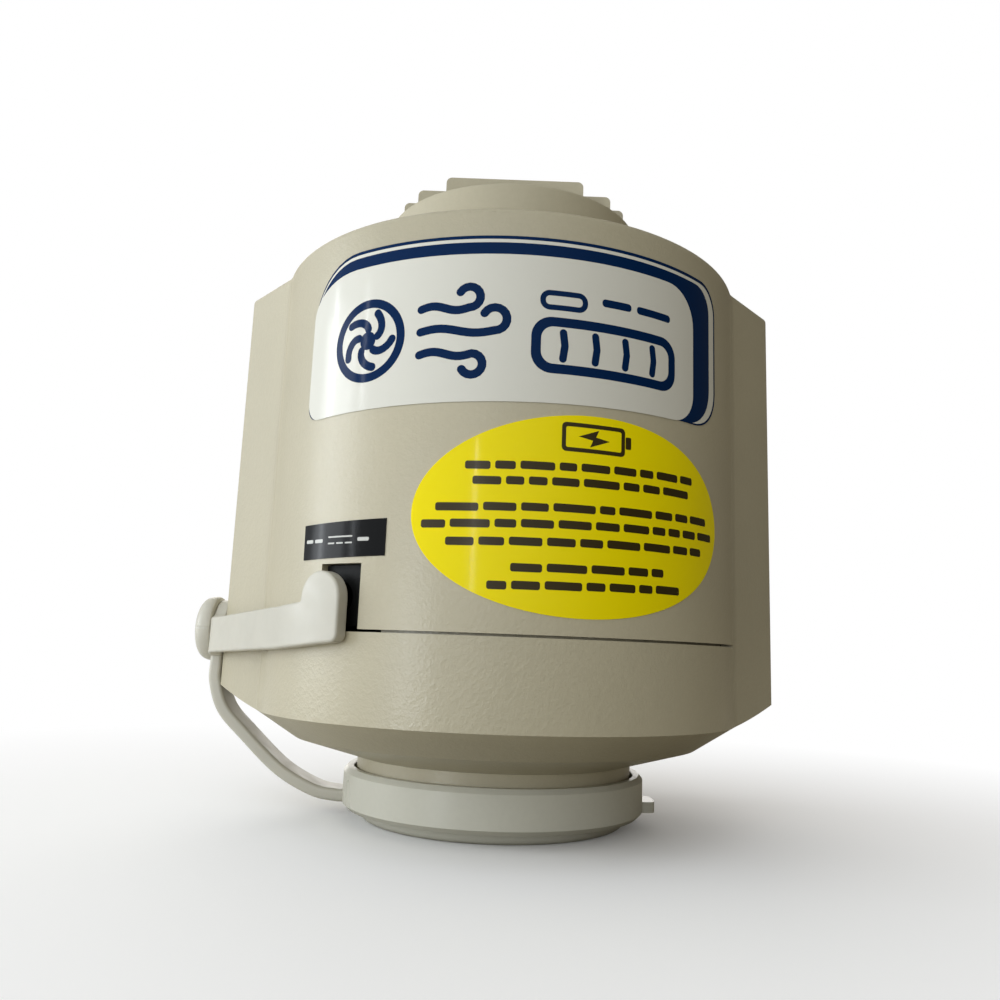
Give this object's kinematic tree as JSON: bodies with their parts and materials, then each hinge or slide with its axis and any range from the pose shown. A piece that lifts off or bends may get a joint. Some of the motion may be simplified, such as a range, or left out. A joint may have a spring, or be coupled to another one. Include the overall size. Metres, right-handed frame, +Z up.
{
  "type": "electric air mattress pump",
  "caption": "Cordless electric air mattress pump: round body with flared wings, top inlet grille, capped nozzle below, strapped socket cover and D handle behind",
  "frame": {"origin": "centre of the nozzle cap's bottom face, which the pump stands on", "axes": "+Z up along the barrel and the motor shaft, -Y the labelled front, +X the right side seen from the front; the handle is at +Y"},
  "size_m": [0.1374, 0.1502, 0.146],
  "materials": {
    "shell": "fine matte texture",
    "cap": "satin, slightly greyer than the shells",
    "strap": "soft satin vinyl",
    "grille": "fine matte texture",
    "label_print": "printed glossy film",
    "oval_print": "printed glossy film",
    "rating_print": "printed glossy film",
    "black_moulding": "satin black",
    "rocker": "glossy black",
    "grip": "ribbed soft grip",
    "steel": "zinc plated",
    "motor_steel": "drawn steel",
    "ferrite": "sintered ferrite",
    "lamination": "stamped laminations",
    "copper": "enamelled copper",
    "brass": "bright",
    "carbon": "pressed carbon",
    "fan": "glass filled nylon",
    "foam": "open cell foam",
    "cell_wrap": "heat shrink sleeve",
    "tray": "moulded",
    "nickel": "nickel strip",
    "board": "solder mask",
    "component": "component bodies",
    "wire": "PVC insulation",
    "gasket": "soft rubber"
  },
  "bodies": {
    "root": {"front_shell": "shell", "lower_bowl": "shell", "rear_shell": "shell", "top_cover": "shell", "cover_screws": "steel", "inlet_grille": "grille", "inlet_filter": "foam", "fan_housing": "fan", "return_vanes": "fan", "nozzle_guard": "black_moulding", "motor_can": "motor_steel", "motor_end_bell": "black_moulding", "motor_terminals": "brass", "motor_magnets": "ferrite", "carbon_brushes": "carbon", "motor_bearings": "brass", "motor_screws": "steel", "housing_screws": "steel", "battery_cells": "cell_wrap", "battery_trays": "tray", "cell_links": "nickel", "charge_board": "board", "board_parts": "component", "board_screws": "steel", "dc_jack": "black_moulding", "jack_contacts": "nickel", "handle_right": "shell", "handle_left": "shell", "handle_grip": "grip", "cross_handle_screws": "steel", "handle_mount_screws": "steel", "switch_body": "black_moulding", "strap_tail": "strap", "strap_anchor": "strap", "cap_tether": "strap", "front_label": "label_print", "rating_label": "rating_print", "caution_label": "oval_print", "motor_leads": "wire", "switch_lead": "wire", "jack_leads": "wire"},
    "rotor": {"impeller": "fan", "impeller_nut": "steel", "motor_armature": "lamination", "motor_windings": "copper", "motor_commutator": "brass", "motor_shaft": "steel"},
    "nozzle_cap": {"nozzle_cap": "cap", "cap_gasket": "gasket"},
    "socket_cover": {"jack_cover": "strap"},
    "rocker": {"switch_rocker": "rocker"}
  },
  "joints": [
    {"name": "fan_spin", "type": "hinge", "parent": "root", "child": "rotor", "pos_m": [0, 0, 0.032], "axis": [0, 0, 1], "continuous": true},
    {"name": "cap_pull", "type": "slide", "parent": "root", "child": "nozzle_cap", "axis": [0, 0, -1], "range_m": [0, 0.03], "deforming": ["cap_tether"]},
    {"name": "cover_swing", "type": "hinge", "parent": "root", "child": "socket_cover", "pos_m": [-0.0665, -0.0044, 0.04], "axis": [0, 0, -1], "range_deg": [0, 60]},
    {"name": "rocker_tilt", "type": "hinge", "parent": "root", "child": "rocker", "pos_m": [0, 0.0635, 0.121], "axis": [-1, 0, 0], "range_deg": [0, 18]}
  ]
}
